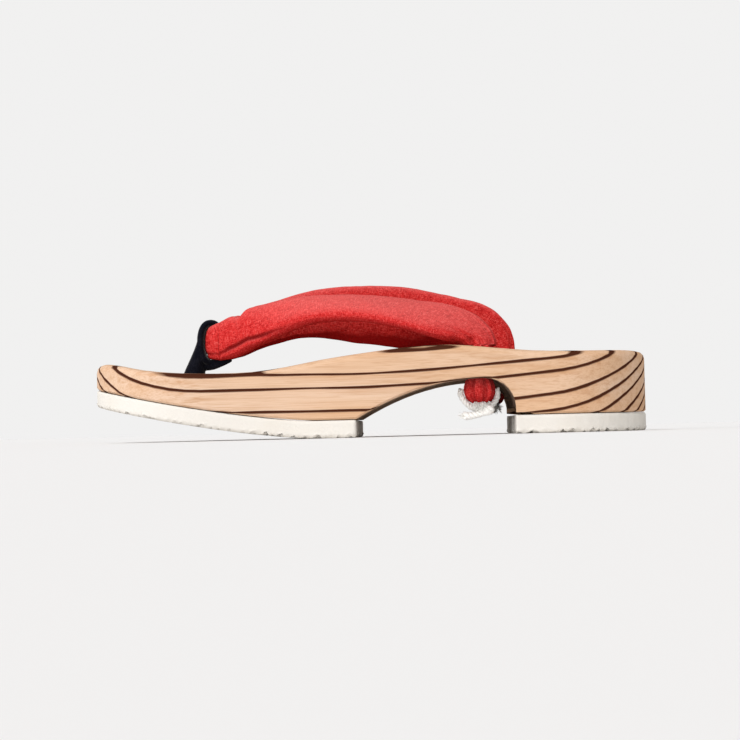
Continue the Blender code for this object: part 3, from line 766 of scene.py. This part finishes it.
speck = place.grain(SPECK_WAVES, 1.0)
y = place.parts()[1]
facing_up = place.node("ShaderNodeTexCoord", {}, {}, "Normal").parts()[2]
shade = (warp + weft - 1) * SLUB_CONTRAST + (speck - 0.5) * SPECK_CONTRAST + SHADE_LEVEL
shade += (patch - 0.5) * PATCH_CONTRAST + weave * WEAVE_CONTRAST
tone = cloth.mix(RED_DEEP, RED, shade.limited())
pale_and_highlight = ((slubs - PALE_LEVEL) * PALE_SLUBS + (speck - 0.5) * PALE_SPECKS).limited() * PALE_SHARE
# Painted highlight: cloth that faces up is mixed towards the pale red, on top of the random pale slubs.
pale_and_highlight += facing_up.share(*HIGHLIGHT_FACING_UP) * HIGHLIGHT_SHARE
tone = cloth.mix(tone, RED_PALE, pale_and_highlight.limited())
# Painted shade: cloth that faces down is mixed towards a deep red, more strongly on the far leg.
underside_shade = y.share(*FAR_LEG_OUT) * FAR_UNDERSIDE_SHADE + NEAR_UNDERSIDE_SHADE
tone = cloth.mix(tone, RED_UNDERSIDE_SHADE, facing_up.share(*SHADE_FACING_DOWN) * underside_shade)
# Painted shade: cloth in creases, pleats, gathers and the tuck is mixed towards RED_SHADOW.
fold_shade_mask = cloth.node("ShaderNodeAttribute", {"attribute_name": "crease"}, {}, "Fac")
cloth.mix(tone, RED_SHADOW, fold_shade_mask * CREASE_SHADE).feeds(slub_shader, "Base Color")
(weave * WEAVE_RELIEF + slubs * SLUB_RELIEF).relief(CLOTH_BUMP).feeds(slub_shader, "Normal")
strap = add_piece("padded_strap", strap_mesh, slub, "red_slub_cloth", "strap")

# Thong: a soft loop of black velvet round the strap's fold, joined to its flattened stem, which goes
# down into the front hole.
THONG_VOXEL = 0.00035
THONG_SOFTENING = 6
THONG_FULLNESS = 0.0002
TAIL_SIDES = 16
TAIL_STEPS = 4
VELVET = (0.0045, 0.0050, 0.0085, 1.0)
VELVET_NAP_SHEEN = (0.016, 0.017, 0.024, 1.0)
NAP_WAVES = 1500
NAP_LEVEL = 0.4
NAP_CONTRAST = 1.2
NAP_RELIEF = 0.0001
BRUSHED_WAVES = 160
BRUSHED_CONTRAST = 1.5
BRUSHED_RELIEF = 0.0002
VELVET_BUMP = 0.5

# Tail that the loop tucks under the fold: places along, out and up, and its radius
THONG_TAIL = (
    ("along", "out", "up", "radius"),
    (-0.0745, 0.0000, 0.0332, 0.0020),
    (-0.0700, -0.0008, 0.0330, 0.0018),
    (-0.0650, -0.0022, 0.0340, 0.0012),
    (-0.0608, -0.0034, 0.0352, 0.0006),
)


def tube(line, radii, level, sides):
    """Vertices and faces of a closed tube along a line, in the plane that the level axis crosses."""
    verts, faces = [], []
    for index, point in enumerate(line):
        run = (line[min(len(line) - 1, index + 1)] - line[max(0, index - 1)]).normalized()
        first = (level - run * level.dot(run)).normalized()
        second = run.cross(first)
        for step in range(sides):
            turn = 2 * math.pi * step / sides
            verts.append(point + (first * math.cos(turn) + second * math.sin(turn)) * radii[index])
    for row in range(len(line) - 1):
        for step in range(sides):
            after = (step + 1) % sides
            here, there = row * sides, (row + 1) * sides
            faces.append((here + step, here + after, there + after, there + step))
    faces.append(tuple(reversed(range(sides))))
    faces.append(tuple(range((len(line) - 1) * sides, len(line) * sides)))
    return verts, faces


def joined_mesh(name, tubes):
    """One mesh of many tubes."""
    verts, faces = [], []
    for tube_verts, tube_faces in tubes:
        faces += [tuple(index + len(verts) for index in face) for face in tube_faces]
        verts += tube_verts
    mesh = bpy.data.meshes.new(name)
    mesh.from_pydata(verts, [], faces)
    mesh.shade_smooth()
    return mesh


velvet_look = {"Roughness": 0.95, "Specular IOR Level": 0.0, "Sheen Weight": 0.25, "Sheen Roughness": 0.35}
velvet, pile, velvet_shader = new_finish("black_velvet", velvet_look)
place = pile.node("ShaderNodeTexCoord", {}, {}, "Object")
nap = place.grain(NAP_WAVES)
brushed = place.grain(BRUSHED_WAVES)
# Painted sheen: patches of brushed pile are mixed towards a lighter black, as if they caught the light.
lit = ((nap - NAP_LEVEL) * NAP_CONTRAST + (brushed - 0.5) * BRUSHED_CONTRAST).limited()
pile.mix(VELVET, VELVET_NAP_SHEEN, lit).feeds(velvet_shader, "Base Color")
(nap * NAP_RELIEF + brushed * BRUSHED_RELIEF).relief(VELVET_BUMP).feeds(velvet_shader, "Normal")
loop = bare_mesh("thong", "velvet_loop")
loop_shape = ([vert.co.copy() for vert in loop.vertices], [face.vertices[:] for face in loop.polygons])
tail_rows = smooth_rows(THONG_TAIL[1:], TAIL_STEPS)
tail_line = [Vector(row[:3]) for row in tail_rows]
tail_shape = tube(tail_line, [row[3] for row in tail_rows], Vector((0, 1, 0)), TAIL_SIDES)
thong_mesh = joined_mesh("velvet_thong", [loop_shape, tail_shape])
thong = add_piece("velvet_thong", thong_mesh, velvet, "black_velvet", "thong")
skinned(thong, THONG_VOXEL)
softened = bmesh.new()
softened.from_mesh(thong.data)
for _ in range(THONG_SOFTENING):
    bmesh.ops.smooth_vert(
        softened, verts=softened.verts, factor=0.5, use_axis_x=True, use_axis_y=True, use_axis_z=True
    )
softened.normal_update()
for vert in softened.verts:
    vert.co += vert.normal * THONG_FULLNESS
softened.to_mesh(thong.data)
softened.free()

# Ties: undyed cotton cords of three twisted strands. Each is slung round a gathered end under the
# arch and knotted beside it, with one loose end that frays.
TIE_THICKNESS = 0.0026
TIE_PITCH = 0.0052
TIE_STRANDS = 3
TIE_END_LENGTH = 0.0105
KNOT_THICKNESS = 1.60
KNOT_BESIDE = 0.5 * TIE_THICKNESS * (1 + KNOT_THICKNESS) + CLEARANCE
CORD_STEPS = 8
STRAND_REACH = 0.25
STRAND_RADIUS = 0.27
STRAND_SIDES = 10
FAR_END_HANG = 0.15
FRAY_THICKNESS = 0.00034
FRAY_BEND = 0.35
FRAY_ROOTS = 0.35
FRAY_SHORTEST = 0.4
FRAY_LEVEL = Vector((0.3, 0.8, 0.5))
FRAY_SIDES = 5
COTTON = (0.90, 0.885, 0.85, 1.0)
COTTON_SHADE = (0.78, 0.75, 0.70, 1.0)
COTTON_CONTRAST = 1.4
LINT_WAVES = 1900
LINT_DETAIL = 3.0
LINT_RELIEF = 0.00022
STAIN_WAVES = 260
COTTON_BUMP = 0.7

# Frays at a cord's tip and under its knot: their spread, their count and their length
TIP_FRAYS = (0.45, 26, 0.0022)
KNOT_FRAYS = (0.8, 16, 0.00176)
KNOT_FRAYS_WAY = Vector((0, -0.4, -1))

# One fray from its root to its tip, as shares of its length and its thickness
FRAY_ROWS = (
    ("along", "thick"),
    (0.0, 1.0),
    (0.35, 0.9),
    (0.7, 0.7),
    (1.0, 0.4),
)

# Sling round a bulb: across is a share of the bulb's width and down of its length
TIE_ROUTE = (
    ("across", "down"),
    (-0.57, 0.42),
    (-0.60, 0.60),
    (-0.52, 0.82),
    (-0.29, 1.13),
    (0.02, 1.24),
    (0.31, 1.13),
    (0.50, 0.85),
    (0.54, 0.60),
    (0.52, 0.42),
)

# Knot and loose end: across is a share of the end's length, down of the bulb's length
TIE_END_ROUTE = (
    ("across", "down", "thick"),
    (0.52, 1.22, 0.90),
    (0.42, 1.24, 1.50),
    (0.27, 1.29, KNOT_THICKNESS),
    (0.12, 1.37, 1.15),
    (-0.12, 1.44, 1.10),
    (-0.40, 1.48, 1.25),
    (-0.66, 1.49, 1.45),
)
KNOT_ROW = 2
END_START_DOWN = TIE_END_ROUTE[1][1]


def cord_point(side, across, aside, height):
    """Place by a gathered end: the near cord runs along the sandal and the far one across it."""
    along = HOLES[side][0] - MIDDLE
    if side == -1:
        return Vector((along + across, side * HOLE_OUT - aside, height))
    return Vector((along - aside, side * HOLE_OUT + across, height))


def twisted(points, widths, level):
    """The strands of a twisted cord along points."""
    line, width = [], []
    for row in smooth_rows([(*point, share) for point, share in zip(points, widths)], CORD_STEPS):
        line.append(Vector(row[:3]))
        width.append(row[3])
    run_length = 0.0
    strands = [[] for _ in range(TIE_STRANDS)]
    for index, point in enumerate(line):
        run = (line[min(len(line) - 1, index + 1)] - line[max(0, index - 1)]).normalized()
        if index:
            run_length += (point - line[index - 1]).length
        second = run.cross(level)
        for number, strand in enumerate(strands):
            turn = 2 * math.pi * (run_length / TIE_PITCH + number / TIE_STRANDS)
            reach = TIE_THICKNESS * STRAND_REACH * width[index]
            strand.append(point + (level * math.cos(turn) + second * math.sin(turn)) * reach)
    radii = [TIE_THICKNESS * STRAND_RADIUS * share for share in width]
    return [tube(strand, radii, level, STRAND_SIDES) for strand in strands]


def frays(dice, start, direction, spread, count, length):
    """Loose threads that fan out from a place."""
    made = []
    for _ in range(count):
        wander = Vector([dice.uniform(-1, 1) for _ in range(3)])
        way = (direction + wander * spread).normalized()
        bend = Vector([dice.uniform(-1, 1) for _ in range(3)]) * FRAY_BEND
        reach = length * dice.uniform(FRAY_SHORTEST, 1.0)
        root = start + wander * spread * length * FRAY_ROOTS
        line = [root + (way + bend * along) * reach * along for along, _ in FRAY_ROWS[1:]]
        radii = [FRAY_THICKNESS / 2 * thick for _, thick in FRAY_ROWS[1:]]
        made.append(tube(line, radii, FRAY_LEVEL, FRAY_SIDES))
    return made


cotton_look = {"Roughness": 1.0, "Specular IOR Level": 0.0, "Sheen Weight": 0.15}
cotton, yarn, cotton_shader = new_finish("cotton_cord", cotton_look)
place = yarn.node("ShaderNodeTexCoord", {}, {}, "Object")
lint = place.grain(LINT_WAVES, LINT_DETAIL)
stain = place.grain(STAIN_WAVES)
shaded = ((lint + stain - 1) * COTTON_CONTRAST).limited()
yarn.mix(COTTON, COTTON_SHADE, shaded).feeds(cotton_shader, "Base Color")
(lint * LINT_RELIEF).relief(COTTON_BUMP).feeds(cotton_shader, "Normal")

dice = random.Random(11)
for side, word in ((-1, "near"), (1, "far")):
    level = Vector((0, 1, 0)) if side == -1 else Vector((1, 0, 0))
    sling = []
    for across, down in TIE_ROUTE[1:]:
        sling.append(cord_point(side, across * BULB_WIDTH, 0.0, ARCH_HEIGHT - down * BULB_LENGTH))
    tubes = twisted(sling, [1.0] * len(sling), level)
    name = "cotton_tie_" + word
    add_piece(name, joined_mesh(name, tubes), cotton, "cotton_cord", "tie_" + word)
    end = []
    for across, down, _ in TIE_END_ROUTE[1:]:
        hang = down if side == -1 else END_START_DOWN + (down - END_START_DOWN) * FAR_END_HANG
        end.append(cord_point(side, across * TIE_END_LENGTH, KNOT_BESIDE, ARCH_HEIGHT - hang * BULB_LENGTH))
    tubes = twisted(end, [row[2] for row in TIE_END_ROUTE[1:]], level)
    tubes += frays(dice, end[-1], (end[-1] - end[-2]).normalized(), *TIP_FRAYS)
    tubes += frays(dice, end[KNOT_ROW], KNOT_FRAYS_WAY, *KNOT_FRAYS)
    name = "cotton_end_" + word
    add_piece(name, joined_mesh(name, tubes), cotton, "cotton_cord", "tie_end_" + word)

# Lining threads: the strap's white cotton lining frays out of each gathered end, as a fringe of loose
# threads below the red cloth.
LINING_TURNS = {-1: (-120, -5), 1: (-150, -40)}
LINING_COUNT = 110
LINING_ROOTS = (0.75, 1.02)
LINING_DROP = 0.0012
LINING_SPLAY = 0.5

# Tuft of lining threads: its spread, its count and its length
LINING_TUFT = (0.5, 3, 0.0034)

tubes = []
for side, (first_turn, last_turn) in LINING_TURNS.items():
    rim = end_sections(side)[-END_STEPS // 2]
    for index in range(LINING_COUNT):
        turn = math.radians(first_turn + (last_turn - first_turn) * index / (LINING_COUNT - 1))
        outward = Vector((math.cos(turn), math.sin(turn), 0))
        start = rim[0] + outward * rim[1].length * dice.uniform(*LINING_ROOTS)
        start.z -= dice.uniform(0.0, LINING_DROP)
        tubes += frays(dice, start, outward * LINING_SPLAY + Vector((0, 0, -1)), *LINING_TUFT)
add_piece("lining_threads", joined_mesh("lining_threads", tubes), cotton, "cotton_cord")
